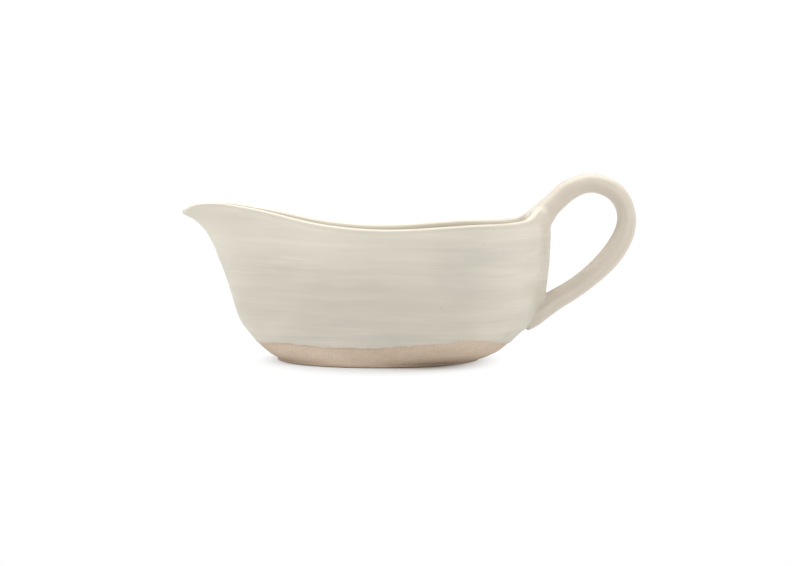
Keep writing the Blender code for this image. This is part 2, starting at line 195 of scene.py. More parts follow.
def vessel_grid(count, grow, outer_n, lip_n, inner_n, floor_n):
    """Rings of the closed vessel, foot to lip to floor, as an array (rings, count, 3), with its two poles."""
    t = np.arange(count) * TAU / count
    z1 = np.zeros(count)

    def ellipse(inset, z):
        return np.stack([FOOT_CENTRE_X - (FOOT_HALF_LENGTH - inset) * np.cos(t),
                         (FOOT_HALF_WIDTH - inset) * np.sin(t), z1 + z], axis=-1)
    rings = [ellipse(s, FOOT_RECESS - grow) for s in (28, 20, 13, FOOT_RING_WIDTH + 2.2 + grow)]
    rings += [ellipse(FOOT_RING_WIDTH + 1.2 + grow, FOOT_RECESS - 0.25 - grow),
              ellipse(FOOT_RING_WIDTH + 0.4 + grow, 0.25 - grow), ellipse(FOOT_RING_WIDTH - 0.4 + grow, -grow),
              ellipse(FOOT_RING_WIDTH / 2, -grow), ellipse(0.85, -grow), ellipse(0.42, 0.10 - grow),
              ellipse(0.13, 0.32 - grow)]
    rises = np.linspace(0, 1, outer_n + 1)[:-1] ** 1.25
    rises = np.maximum(rises, 0.0)
    for k, r in enumerate(rises):
        ring = offset(t, np.full(count, r), np.full(count, -grow))
        if k == 0:
            ring[:, 2] = 0.60
        rings.append(ring)
    one = np.ones(count)
    n, up = frame_at(t, one)
    wall = wall_at(t, one)[:, None]
    centre = outer(t, one) - wall / 2 * n
    for k in range(lip_n + 1):
        a = math.pi * k / lip_n
        rings.append(centre + (wall / 2 + grow) * (math.cos(a) * n + 0.9 * math.sin(a) * up))
    low = 0.20
    for k in range(1, inner_n + 1):
        r = 1 - (1 - low) * (k / inner_n)
        r = one * (r - 0.006 * math.exp(-k / 2.0))
        rings.append(offset(t, r, wall_at(t, r) + grow))
    edge = rings[-1]
    pole = np.array([FOOT_CENTRE_X, 0, FLOOR_TOP_Z + grow])
    for k in range(1, floor_n + 1):
        share = 1 - k / (floor_n + 1)
        q = pole + (edge - pole) * share
        q[:, 2] = pole[2] + (edge[:, 2] - pole[2]) * share ** 3.2
        rings.append(q)
    return np.array(rings), np.array([FOOT_CENTRE_X, 0, FOOT_RECESS - grow]), pole


def grid_mesh(name, rings, start=None, end=None):
    """A closed loft through rings, with a pole or a flat cap at each end."""
    k, n, _ = rings.shape
    verts = rings.reshape(-1, 3)
    i = np.arange(n); j = (i + 1) % n
    faces = []
    for r in range(k - 1):
        faces.append(np.stack([r * n + i, (r + 1) * n + i, (r + 1) * n + j, r * n + j], axis=-1))
    faces = np.concatenate(faces).tolist()
    for pole, ring, flip in ((start, 0, False), (end, k - 1, True)):
        base = ring * n
        if pole is None:
            cap = [base + a for a in range(n)]
            faces.append(cap if not flip else cap[::-1])
        else:
            verts = np.vstack([verts, pole])
            tip = len(verts) - 1
            for a in range(n):
                b = (a + 1) % n
                faces.append([base + a, base + b, tip] if not flip else [base + b, base + a, tip])
    volume = 0.0
    q = verts[np.array(faces[:(k - 1) * n])] - verts.mean(0)
    volume += (q[:, 0] * (np.cross(q[:, 1], q[:, 2]) + np.cross(q[:, 2], q[:, 3]))).sum()
    if volume < 0:                                  # faces look outwards
        faces = [f[::-1] for f in faces]
    mesh = bpy.data.meshes.new(name)
    mesh.from_pydata((verts * MM).tolist(), [], faces)
    mesh.update()
    return mesh


# ================================================================ strap and rib
def strap_section(count, flute):
    """Unit section: across the thickness (+1 is the outer edge) and across the width, with fluted sides."""
    a = TAU * (np.arange(count) + 0.5) / count
    c, s = np.cos(a), np.sin(a)
    r = np.sign(c) * np.abs(c) ** 0.88
    w = np.sign(s) * np.abs(s) ** 0.80
    side = np.abs(w) ** 3
    groove = np.exp(-((r - 0.34) / 0.27) ** 2) + 0.80 * np.exp(-((r + 0.46) / 0.17) ** 2) \
        - 0.30 * np.exp(-((r + 0.10) / 0.11) ** 2)
    return r, w, side * groove * flute


def sweep(rails, steps, width, grow, count, flute, wander=0.0, fan=0.0, monotone=False):
    mids = [((o[0] + i[0]) / 2, (o[1] + i[1]) / 2) for o, i, _ in rails]
    knots = [0.0]
    for (x0, z0), (x1, z1) in zip(mids, mids[1:]):
        knots.append(knots[-1] + math.hypot(x1 - x0, z1 - z0))
    tracks = [Spline(list(zip(knots, v)), monotone) for v in (
        [r[0][0] for r in rails], [r[0][1] for r in rails],
        [r[1][0] for r in rails], [r[1][1] for r in rails], [r[2] for r in rails])]
    r, w, g = strap_section(count, flute)
    rings = []
    for k in range(steps + 1):
        s = knots[-1] * k / steps
        ox, oz, ix, iz, factor = [float(tr(s)) for tr in tracks]
        o, i = np.array([ox, 0, oz]), np.array([ix, 0, iz])
        m, a = (o + i) / 2, (o - i) / 2
        half = np.linalg.norm(a); a = a / half
        hw = width / 2 * factor + grow
        drift = wander * (math.sin(s / 19.0 + 0.6) + 0.6 * math.sin(s / 8.3 + 2.0))
        fade = 0.60 + 0.75 * min(max((s - 45.0) / 50.0, 0.0), 1.0) + 0.12 * math.sin(s / 9.0)
        splay = fan * min(max((19.0 - s) / 13.0, 0.0), 1.0) ** 1.5
        y = w * hw * (1 + splay * smooth_step(-0.4, 1.0, r)) - np.sign(w) * g * fade
        rings.append(m + np.outer(r * (half + grow), a) + np.stack([0 * y, y + drift, 0 * y], axis=-1))
    return np.array(rings)


def domed(rings, length, first):
    """The sweep with one end rounded off."""
    ring, before = (rings[0], rings[1]) if first else (rings[-1], rings[-2])
    m = ring.mean(0)
    along = unit(m - before.mean(0))
    extra = np.array([m + (ring - m) * math.cos(a) + along * length * math.sin(a)
                      for a in np.radians((16, 32, 47, 60, 72, 82, 88))])
    return np.concatenate([extra[::-1], rings]) if first else np.concatenate([rings, extra])


def as_object(mesh):
    obj = bpy.data.objects.new(mesh.name, mesh)
    bpy.context.scene.collection.objects.link(obj)
    return obj


def tree(mesh):
    pts = np.empty(len(mesh.vertices) * 3); mesh.vertices.foreach_get("co", pts)
    mesh.calc_loop_triangles()
    tri = np.empty(len(mesh.loop_triangles) * 3, int); mesh.loop_triangles.foreach_get("vertices", tri)
    return BVHTree.FromPolygons((pts.reshape(-1, 3) * 1000).tolist(), tri.reshape(-1, 3).tolist())


def signed(bvh, pts, reach, faces=None):
    """Signed distance and outward direction from each point to a closed surface, within reach."""
    d = np.full(len(pts), reach, float); n = np.zeros((len(pts), 3)); near = pts.copy()
    for k, p in enumerate(pts.tolist()):
        q, nn, index, dist = bvh.find_nearest(p, reach)
        if q is None:
            continue
        if faces is not None:
            faces[k] = index
        v = (p[0] - q[0], p[1] - q[1], p[2] - q[2])
        s = 1.0 if v[0] * nn[0] + v[1] * nn[1] + v[2] * nn[2] >= 0 else -1.0
        d[k] = s * dist
        n[k] = nn
        near[k] = q
    return d, n, near


def smin(a, b, k):
    h = np.clip(0.5 + 0.5 * (b - a) / k, 0, 1)
    return b * (1 - h) + a * h - k * h * (1 - h), h


# ================================================================ one continuous glazed surface
fine = 1
COUNT, OUTER_N, LIP_N = 420 // fine, 130 // fine, 16
rings, start, end = vessel_grid(COUNT, GLAZE, OUTER_N, LIP_N, 100 // fine, 26)
vessel_skin = grid_mesh("tmp_vessel", rings, start, end)
strap_rings = sweep(HANDLE_RAILS, 260 // fine, STRAP_WIDTH, GLAZE + 0.12, 72, FLUTE_DEPTH, 0.08, 0.46)
strap_skin = grid_mesh("tmp_strap", domed(domed(strap_rings, 2.2, True), 2.2, False))
rib_rails = [((x, z), (x - RIB_DEPTH, z + 0.4), min(1.0, 0.62 + (z - RIB_FACE[0][0]) / 22)) for z, x in RIB_FACE]
rib_rails.append(((70.6, 69.5), (65.0, 69.5), 1.0))
rib_rings = sweep(rib_rails, 90, RIB_WIDTH, GLAZE, 36, 0.0)
rib_skin = grid_mesh("tmp_rib", domed(domed(rib_rings, 1.6, True), 1.2, False))

joined = bpy.data.meshes.new("tmp_all")
coords, polys, base = [], [], 0
for m in (vessel_skin, strap_skin, rib_skin):
    coords += [v.co[:] for v in m.vertices]
    polys += [[base + i for i in p.vertices] for p in m.polygons]
    base = len(coords)
joined.from_pydata(coords, [], polys)
work = as_object(joined)
remesh = work.modifiers.new("remesh", "REMESH")
remesh.mode = "VOXEL"
remesh.voxel_size = VOXEL * MM
dg = bpy.context.evaluated_depsgraph_get()
skin = bpy.data.meshes.new_from_object(work.evaluated_get(dg))
bpy.data.objects.remove(work)

P = np.empty(len(skin.vertices) * 3); skin.vertices.foreach_get("co", P); P = P.reshape(-1, 3) * 1000
loops = np.empty(len(skin.loops), int); skin.loops.foreach_get("vertex_index", loops)
starts = np.empty(len(skin.polygons), int); skin.polygons.foreach_get("loop_start", starts)
totals = np.empty(len(skin.polygons), int); skin.polygons.foreach_get("loop_total", totals)
quads = np.stack([loops[starts + k] for k in range(4)], axis=-1) if (totals == 4).all() else None
if quads is None:
    raise RuntimeError("the remeshed skin is not all quads")
edges = np.empty(len(skin.edges) * 2, int); skin.edges.foreach_get("vertices", edges); edges = edges.reshape(-1, 2)
print("skin", len(P), "vertices", len(quads), "quads", P.min(0), P.max(0))

t_vessel, t_strap, t_rib = tree(vessel_skin), tree(strap_skin), tree(rib_skin)
REACH = 9.0
face_of = np.zeros(len(P), int)
dv, nv, qv = signed(t_vessel, P, REACH, face_of)
ring_of = face_of // 2 // COUNT       # which band of the vessel, from the foot to the bowl's floor
FIRST_LIP, LAST_LIP = 11 + OUTER_N, 11 + OUTER_N + LIP_N
ds, db = np.full(len(P), REACH), np.full(len(P), REACH)
ns, nb = np.zeros_like(P), np.zeros_like(P)
qs, qb = P.copy(), P.copy()
rear = np.where(P[:, 0] > 38)[0]
ds[rear], ns[rear], qs[rear] = signed(t_strap, P[rear], REACH)
db[rear], nb[rear], qb[rear] = signed(t_rib, P[rear], REACH)

K_TOP, K_LOW, K_RIB = 4.6, 1.0, 1.8


def blend_width(p):
    """Fillet width where strap meets vessel or rib: wide and smeared at the rim, tight at the lower end."""
    return K_LOW + (K_TOP - K_LOW) * smooth_step(40.0, 62.0, p[:, 2])


def meet(a, na, b, nb, k):
    """Smooth union of two distances. The fillet narrows where the two faces run side by side."""
    k = k * np.clip((1 - (na * nb).sum(1)) / 0.7, 0.05, 1)
    f, h = smin(a, b, k)
    return f, h, h[:, None] * na + (1 - h)[:, None] * nb


owner = np.argmin(np.stack([np.abs(dv), np.abs(ds), np.abs(db)]), axis=0)
k_s = blend_width(P)
joint = ((np.abs(ds) < k_s + 1.0) & (np.abs(dv) < k_s + 1.0)) | ((np.abs(ds) < k_s + 1.0) & (np.abs(db) < k_s + 1.0)) \
    | ((np.abs(db) < K_RIB + 1.0) & (np.abs(dv) < K_RIB + 1.0))
free = ~joint
P[free & (owner == 0)] = qv[free & (owner == 0)]
P[free & (owner == 1)] = qs[free & (owner == 1)]
P[free & (owner == 2)] = qb[free & (owner == 2)]

J = np.where(joint)[0]
count = np.bincount(edges.ravel(), minlength=len(P)).astype(float)


def mean_of_neighbours(values):
    out = np.empty_like(values)
    for c in range(values.shape[1]):
        out[:, c] = (np.bincount(edges[:, 0], values[edges[:, 1], c], len(P))
                     + np.bincount(edges[:, 1], values[edges[:, 0], c], len(P)))
    return out / count[:, None]


def vertex_normals(p):
    a, b = p[quads[:, 2]] - p[quads[:, 0]], p[quads[:, 3]] - p[quads[:, 1]]
    f = np.cross(a, b)
    n = np.empty_like(p)
    for c in range(3):
        n[:, c] = np.bincount(quads.ravel(), np.repeat(f[:, c], 4), len(p))
    return unit(n)


strap_share = (owner == 1).astype(float)
off_strap = ds.copy()
for step in range(5):
    a, na, _ = signed(t_vessel, P[J], 14.0)
    b, nbb, _ = signed(t_strap, P[J], 14.0)
    c, nc, _ = signed(t_rib, P[J], 14.0)
    f1, _, g1 = meet(a, na, c, nc, K_RIB)           # vessel with rib
    f2, h2, g2 = meet(f1, g1, b, nbb, blend_width(P[J]))
    size = np.maximum((g2 ** 2).sum(1), 0.25)
    P[J] -= np.clip(f2 / size, -1.5, 1.5)[:, None] * g2
    if step < 4:
        relaxed = mean_of_neighbours(P)
        P[J] += 0.5 * (relaxed[J] - P[J])
strap_share[J] = np.clip(1 - h2, 0, 1)
off_strap[J] = b
around = np.zeros(len(P)); around[J] = 1.0
for _ in range(2):
    around = np.maximum(around, (mean_of_neighbours(around[:, None])[:, 0] > 0).astype(float))
W = np.where(around > 0)[0]
for _ in range(4):                                  # stray vertices fall back among their neighbours
    gap = mean_of_neighbours(P)[W] - P[W]
    far = np.clip((np.linalg.norm(gap, axis=1) - 0.10) / 0.20, 0, 1)
    P[W] += (0.12 + 0.68 * far)[:, None] * gap
for _ in range(6):
    strap_share = 0.5 * strap_share + 0.5 * mean_of_neighbours(strap_share[:, None])[:, 0]

# ---------------------------------------------------------------- what is where on the skin
N = vertex_normals(P)
if (N * np.where(owner[:, None] == 0, nv, 0)).sum() < 0:
    quads = quads[:, ::-1]
    N = -N
turn = np.arctan2(P[:, 1] / FOOT_HALF_WIDTH, -(P[:, 0] - FOOT_CENTRE_X) / FOOT_HALF_LENGTH)
line = glaze_line(turn)


def value_noise(p, seed):
    """Smooth noise from -1 to 1 on points, made from hashed lattice values."""
    p = np.asarray(p, float)
    i = np.floor(p).astype(np.int64); f = p - i; f = f * f * f * (f * (6 * f - 15) + 10)
    total = 0.0
    for dx in (0, 1):
        for dy in (0, 1):
            for dz in (0, 1):
                h = (i[:, 0] + dx) * 374761393 + (i[:, 1] + dy) * 668265263 + (i[:, 2] + dz) * 2147483647 + seed * 1274126177
                h = (h ^ (h >> 13)) * 1274126177 & 0xFFFFFFFF
                h = (h ^ (h >> 16)) & 0xFFFF
                wgt = (f[:, 0] if dx else 1 - f[:, 0]) * (f[:, 1] if dy else 1 - f[:, 1]) * (f[:, 2] if dz else 1 - f[:, 2])
                total = total + wgt * (h / 32767.5 - 1.0)
    return total


# Throwing rings: shallow horizontal waves, never quite level, and one fuller ring under the spout.
body = 1 - strap_share
outside_wall = (owner == 0) & (ring_of < FIRST_LIP)
to_rim = rim_height(np.clip(P[:, 0], -113, 67)) - P[:, 2]
tilt = P[:, 2] + 1.5 * value_noise(P / 42.0, 3) + 0.02 * P[:, 0]
strength = 0.55 + 0.45 * smooth_step(30, -50, P[:, 0]) + 0.40 * value_noise(P / np.array([34.0, 34.0, 9.0]), 5)
fade = smooth_step(13, 22, P[:, 2]) * smooth_step(2.0, 9.0, to_rim)
tip = smooth_step(-84, -66, P[:, 0])
waves = 1.55 * (0.105 * np.sin(TAU * tilt / 8.1 + 0.8) + 0.050 * np.sin(TAU * tilt / 3.7 + 2.1)
         + 0.040 * np.sin(TAU * tilt / 5.2 + 1.2 * value_noise(P / 25.0, 8))) * (0.35 + 0.65 * tip)
bands = 0.46 * value_noise(P / np.array([44.0, 44.0, 10.0]), 15) * (0.3 + 0.7 * tip)
full = 0.90 * np.exp(-((tilt - 49.5) / np.where(tilt > 49.5, 12.0, 6.5)) ** 2) * smooth_step(35, -42, P[:, 0]) * (0.2 + 0.8 * tip)
eased = -0.62 * np.clip(1 - to_rim / 4.4, 0, 1) ** 2 * (1 - np.clip(N[:, 2], 0, 1)) ** 1.5 \
    * ((owner == 0) & (ring_of < FIRST_LIP + LIP_N // 2))
uneven = 0.20 * value_noise(P / 28.0, 11) + 0.06 * value_noise(P / 9.0, 12)
strap_uneven = 0.14 * value_noise(P / 11.0, 21) + 0.05 * value_noise(P / 4.5, 22)
quiet = smooth_step(4.0, 14.0, off_strap)           # the walls run true into the joints
bead = 0.34 * np.exp(-((off_strap - 1.5) / 0.85) ** 2) * smooth_step(36, 30, P[:, 2]) * (ring_of < FIRST_LIP)
lift = body * (quiet * (strength * fade * waves + fade * (bands + full) + uneven * 0.8 * smooth_step(8, 20, P[:, 2]))
               + eased + bead) + strap_share * strap_uneven
P += lift[:, None] * N
N = vertex_normals(P)

# Convexity: thinner glaze on ridges and edges, thicker in hollows; the ridges and the lip also get a painted highlight
# from it.
curv = ((P - mean_of_neighbours(P)) * N).sum(1) / VOXEL ** 2
for _ in range(3):
    curv = mean_of_neighbours(curv[:, None])[:, 0]
thickness_and_highlight = np.clip(curv * 6.0, -1, 1)
for _ in range(2):
    thickness_and_highlight = 0.5 * thickness_and_highlight + 0.5 * mean_of_neighbours(thickness_and_highlight[:, None])[:, 0]

# ---------------------------------------------------------------- cut at the glaze line
level = P[:, 2] - line
below = (level < 0) & (ring_of < FIRST_LIP) & (owner == 0)
keep = ~(below[quads].any(axis=1))
kept = quads[keep]

sides = np.concatenate([kept[:, [0, 1]], kept[:, [1, 2]], kept[:, [2, 3]], kept[:, [3, 0]]])
key = np.sort(sides, axis=1)
code = key[:, 0] * len(P) + key[:, 1]
uniq, first, counts = np.unique(code, return_index=True, return_counts=True)
border = sides[first[counts == 1]]
used = np.unique(border)

# The edge follows the line exactly, then rounds under to meet the clay.
tangent = unit(np.array([0, 0, 1.0]) - N * N[:, 2:3])
P[used] += (line[used] - P[used, 2])[:, None] / np.maximum(tangent[used, 2:3], 0.3) * tangent[used]
slot_of = np.full(len(P), -1); slot_of[used] = np.arange(len(used))
total = len(P)
row0 = P[used] - 0.10 * N[used]
row1 = row0 - 0.20 * tangent[used] - 0.20 * N[used]
row2 = row1 - 0.04 * tangent[used] - 0.40 * N[used]
P[used] = row0
a, b = border[:, 0], border[:, 1]
apron = np.concatenate([
    np.stack([b, a, total + slot_of[a], total + slot_of[b]], axis=-1),
    np.stack([total + slot_of[b], total + slot_of[a], total + len(used) + slot_of[a], total + len(used) + slot_of[b]], axis=-1)])
PP = np.vstack([P, row1, row2])
NN = np.vstack([N, unit(N[used] - 1.2 * tangent[used]), unit(N[used] - tangent[used])])
is_inside = (ring_of >= LAST_LIP + 3) & (owner == 0) & (strap_share < 0.02)
face_inside = is_inside[kept].all(axis=1)
# painted light and shade: lighter high on the wall, most towards the spout, darker across the belly, most near its
# middle, with some random unevenness on top
painted_light_and_shade = smooth_step(44, 60, P[:, 2]) * (0.05 + 0.95 * smooth_step(45, -40, P[:, 0])) \
    - 0.85 * smooth_step(15, 27, P[:, 2]) * smooth_step(46, 36, P[:, 2]) \
    * (0.35 + 0.65 * np.exp(-((P[:, 0] + 28) / 42.0) ** 2))
painted_light_and_shade = (painted_light_and_shade + 0.42 * value_noise(P / np.array([30.0, 30.0, 6.0]), 41) * smooth_step(14, 22, P[:, 2])) * body
fields = {
    "glaze_painted_light_and_shade": np.concatenate([painted_light_and_shade, np.zeros(2 * len(used))]),
    "glaze_thickness_and_highlight": np.concatenate([thickness_and_highlight, np.full(2 * len(used), 0.6)]),
    "glaze_level": np.concatenate([np.where(ring_of < FIRST_LIP, level, 60.0), np.full(2 * len(used), -0.2)]),
    "strap": np.concatenate([np.maximum(strap_share, 0), np.zeros(2 * len(used))]),
}
fields["glaze_level"] = np.where(np.concatenate([owner, np.zeros(2 * len(used), int)]) == 0, fields["glaze_level"], 60.0)


def piece(name, faces, materials):
    """A smooth piece from some of the skin's faces, with the whole skin's normals, so that no seam shows."""
    ids, inverse = np.unique(faces, return_inverse=True)
    faces = inverse.reshape(faces.shape)
    mesh = bpy.data.meshes.new(name)
    mesh.vertices.add(len(ids)); mesh.vertices.foreach_set("co", (PP[ids] * MM).ravel())
    mesh.loops.add(faces.size); mesh.loops.foreach_set("vertex_index", faces.ravel())
    mesh.polygons.add(len(faces)); mesh.polygons.foreach_set("loop_start", np.arange(len(faces)) * 4)
    mesh.update(calc_edges=True)
    mesh.validate()
    mesh.shade_smooth()
    mesh.normals_split_custom_set_from_vertices(NN[ids].tolist())
    for label, values in fields.items():
        mesh.attributes.new(label, "FLOAT", "POINT").data.foreach_set("value", values[ids].astype(np.float32))
    obj = as_object(mesh)
    for m in materials:
        mesh.materials.append(m)
    return obj


# ================================================================ materials
def new_material(name):
    mat = bpy.data.materials.new(name)
    mat.use_nodes = True
    return mat, mat.node_tree, mat.node_tree.nodes["Principled BSDF"]


class Nodes:
    """Short hand for building a node tree."""

    def __init__(self, nt):
        self.nt = nt

    def add(self, kind, **props):
        node = self.nt.nodes.new(kind)
        for k, v in props.items():
            if k in node.inputs:
                node.inputs[k].default_value = v
            else:
                setattr(node, k, v)
        return node

    def link(self, a, b):
        self.nt.links.new(a, b)

    def coords(self, scale, where=(0, 0, 0)):
        tc = self.add("ShaderNodeTexCoord")
        mp = self.add("ShaderNodeMapping")
        mp.inputs["Scale"].default_value = scale
        mp.inputs["Location"].default_value = where
        self.link(tc.outputs["Object"], mp.inputs["Vector"])
        return mp.outputs["Vector"]

    def noise(self, vector, scale, detail=4.0, rough=0.55, distort=0.0):
        n = self.add("ShaderNodeTexNoise")
        n.inputs["Scale"].default_value = scale
        n.inputs["Detail"].default_value = detail
        n.inputs["Roughness"].default_value = rough
        n.inputs["Distortion"].default_value = distort
        self.link(vector, n.inputs["Vector"])
        return n.outputs["Fac"]

    def span(self, value, a, b, c=0.0, d=1.0, smooth=True):
        m = self.add("ShaderNodeMapRange")
        m.interpolation_type = "SMOOTHSTEP" if smooth else "LINEAR"
        for key, v in (("From Min", a), ("From Max", b), ("To Min", c), ("To Max", d)):
            m.inputs[key].default_value = v
        self.link(value, m.inputs["Value"])
        return m.outputs["Result"]

    def math(self, op, a, b=None, c=None):
        m = self.add("ShaderNodeMath", operation=op)
        for k, v in enumerate((a, b, c)):
            if v is None:
                continue
            if isinstance(v, (int, float)):
                m.inputs[k].default_value = v
            else:
                self.link(v, m.inputs[k])
        return m.outputs[0]

    def mix(self, factor, a, b, blend="MIX"):
        m = self.add("ShaderNodeMix", data_type="RGBA", blend_type=blend)
        for key, v in ((0, factor), (6, a), (7, b)):
            if isinstance(v, (tuple, list)):
                m.inputs[key].default_value = (*v, 1) if len(v) == 3 else v
            elif isinstance(v, (int, float)):
                m.inputs[key].default_value = v
            else:
                self.link(v, m.inputs[key])
        return m.outputs[2]

    def attribute(self, name):
        return self.add("ShaderNodeAttribute", attribute_name=name).outputs["Fac"]

    def dots(self, vector, scale, radius, share, soft=0.5):
        """Round specks where scattered points come near the surface."""
        v = self.add("ShaderNodeTexVoronoi", feature="F1")
        v.inputs["Scale"].default_value = scale
        self.link(vector, v.inputs["Vector"])
        near = self.span(v.outputs["Distance"], radius * (1 - soft), radius, 1.0, 0.0)
        sep = self.add("ShaderNodeSeparateColor")
        self.link(v.outputs["Color"], sep.inputs["Color"])
        here = self.span(sep.outputs["Red"], 1 - share, 1 - share + 0.02)
        return self.math("MULTIPLY", near, here)


def srgb(r, g, b):
    return tuple((c / 255 / 12.92) if c <= 10 else ((c / 255 + 0.055) / 1.055) ** 2.4 for c in (r, g, b))


def cream_glaze():
    mat, nt, shader = new_material("cream_satin_glaze")
    k = Nodes(nt)
    # long, nearly level brush and throwing streaks on the vessel, even mottling on the strap
    level_wide = k.noise(k.coords((14, 14, 190)), 1.0, 5.0, 0.6, 0.6)
    level_fine = k.noise(k.coords((40, 40, 900), (3, 1, 2)), 1.0, 4.0, 0.6, 0.3)
    cloud = k.noise(k.coords((1, 1, 1.6), (5, 2, 0)), 26.0, 3.0, 0.5, 0.4)
    mottle = k.noise(k.coords((1, 1, 1), (1, 8, 3)), 120.0, 3.0, 0.5)
    strap = k.attribute("strap")
    streak = k.mix(strap, k.math("MULTIPLY_ADD", level_wide, 0.65, k.math("MULTIPLY", level_fine, 0.35)), mottle)
    tone = k.span(k.math("ADD", k.math("MULTIPLY", streak, 0.6), k.math("MULTIPLY", cloud, 0.4)), 0.34, 0.66)
    colour = k.mix(tone, COOL, WARM)
    drift = k.noise(k.coords((1, 1, 1.4), (9, 4, 2)), 11.0, 2.0, 0.5, 0.3)
    colour = k.mix(k.span(drift, 0.52, 0.70, 0.0, 0.65), colour, PALE)
    colour = k.mix(k.math("MULTIPLY", strap, 0.72), colour, STRAP_TONE)
    # painted light and shade: the coat is painted lighter and milkier high on the wall towards the rim, most towards
    # the spout, and darker and greyer on the belly
    painted_light_and_shade = k.attribute("glaze_painted_light_and_shade")
    colour = k.mix(k.span(painted_light_and_shade, 0.0, 1.1, 0.0, 0.75, False), colour, MILKY_PAINTED_LIGHT)
    colour = k.mix(k.span(painted_light_and_shade, 0.0, -1.0, 0.0, 0.55, False), colour, BELLY_PAINTED_SHADE)
    # thicker, milkier glaze in hollows, and warmer, thinner glaze over ridges and the lip, painted lighter there as a
    # highlight
    thickness_and_highlight = k.attribute("glaze_thickness_and_highlight")
    colour = k.mix(k.span(thickness_and_highlight, 0.10, 0.75, 0.0, 0.55), colour, THIN_GLAZE_HIGHLIGHT)
    colour = k.mix(k.span(thickness_and_highlight, -0.12, -0.70, 0.0, 0.45), colour, THICK)
    # just above the glaze line the coat thins and the clay warms it
    level = k.attribute("glaze_level")
    wobble = k.noise(k.coords((1, 1, 1), (7, 7, 1)), 70.0, 3.0, 0.6)
    reach = k.math("MULTIPLY_ADD", wobble, 5.0, -0.6)
    near = k.math("DIVIDE", level, k.math("MAXIMUM", reach, 0.6))
    colour = k.mix(k.span(near, 1.0, 0.0, 0.0, 0.50), colour, EDGE)
    colour = k.mix(k.span(level, 0.45, 0.0, 0.0, 0.55), colour, EDGE_DARK)
    # sparse iron specks, a few bold and more faint
    plain = k.coords((1, 1, 1))
    bold = k.dots(plain, 105.0, 0.045, 0.55)
    faint = k.dots(k.coords((1, 1, 1), (0.2, 0.1, 0.3)), 230.0, 0.075, 0.6, 0.8)
    colour = k.mix(k.math("MULTIPLY", faint, 0.16), colour, SPECK)
    colour = k.mix(k.math("MULTIPLY", bold, 0.36), colour, SPECK)
    k.link(colour, shader.inputs["Base Color"])
    rough = k.span(k.math("ADD", k.math("MULTIPLY", streak, 0.5), k.math("MULTIPLY", mottle, 0.5)), 0.3, 0.7, 0.40, 0.54)
    k.link(k.math("ADD", rough, k.math("MULTIPLY", bold, 0.2)), shader.inputs["Roughness"])
    shader.inputs["IOR"].default_value = 1.48
    shader.inputs["Specular IOR Level"].default_value = 0.42
    # fine relief: level throwing lines, orange peel, pinholes
    lines = k.noise(k.coords((22, 22, 1500), (1, 2, 3)), 1.0, 3.0, 0.5)
    lines = k.mix(strap, lines, mottle)
    peel = k.noise(plain, 900.0, 2.0, 0.5)
    pin = k.dots(k.coords((1, 1, 1), (0.5, 0.7, 0.1)), 260.0, 0.05, 0.5)
    height = k.math("ADD", k.math("MULTIPLY", lines, 0.75), k.math("MULTIPLY", peel, 0.28))
    height = k.math("SUBTRACT", height, k.math("MULTIPLY", pin, 0.6))
    bump = k.add("ShaderNodeBump")
    bump.inputs["Strength"].default_value = 0.35
    bump.inputs["Distance"].default_value = 0.00016
    k.link(height, bump.inputs["Height"])
    k.link(bump.outputs["Normal"], shader.inputs["Normal"])
    return mat


def bare_clay(name, light, dark, deep):
    mat, nt, shader = new_material(name)
    k = Nodes(nt)
    plain = k.coords((1, 1, 1))
    cloud = k.noise(k.coords((1, 1, 2.2), (2, 4, 6)), 45.0, 4.0, 0.6)
    grain = k.noise(plain, 1500.0, 3.0, 0.6)
    grit = k.noise(k.coords((1, 1, 1), (9, 9, 9)), 520.0, 3.0, 0.6)
    colour = k.mix(k.span(cloud, 0.33, 0.68), light, dark)
    colour = k.mix(k.span(grain, 0.40, 0.72, 0.0, 0.35), colour, deep)
    # painted shade: the clay is darkened low on the foot, towards the floor
    tc = k.add("ShaderNodeTexCoord"); sep = k.add("ShaderNodeSeparateXYZ")
    k.link(tc.outputs["Object"], sep.inputs["Vector"])
    low = k.span(sep.outputs["Z"], 0.0060, 0.0, 0.0, 0.55)
    colour = k.mix(low, colour, deep)
    spots = k.dots(plain, 300.0, 0.10, 0.6, 0.7)
    dark_spots = k.dots(k.coords((1, 1, 1), (0.4, 0.2, 0.9)), 420.0, 0.09, 0.35, 0.6)
    colour = k.mix(k.math("MULTIPLY", spots, 0.30), colour, srgb(226, 212, 196))
    colour = k.mix(k.math("MULTIPLY", dark_spots, 0.45), colour, srgb(120, 98, 78))
    k.link(colour, shader.inputs["Base Color"])
    k.link(k.span(grit, 0.3, 0.7, 0.80, 0.94), shader.inputs["Roughness"])
    shader.inputs["IOR"].default_value = 1.45
    shader.inputs["Specular IOR Level"].default_value = 0.25
    turning = k.noise(k.coords((18, 18, 1700), (4, 0, 0)), 1.0, 3.0, 0.55)
    height = k.math("ADD", k.math("MULTIPLY", grit, 0.6), k.math("MULTIPLY", grain, 0.35))
    height = k.math("ADD", height, k.math("MULTIPLY", turning, 0.30))
    height = k.math("SUBTRACT", height, k.math("MULTIPLY", dark_spots, 0.5))
    bump = k.add("ShaderNodeBump")
    bump.inputs["Strength"].default_value = 0.55
    bump.inputs["Distance"].default_value = 0.00028
    k.link(height, bump.inputs["Height"])
    k.link(bump.outputs["Normal"], shader.inputs["Normal"])
    return mat


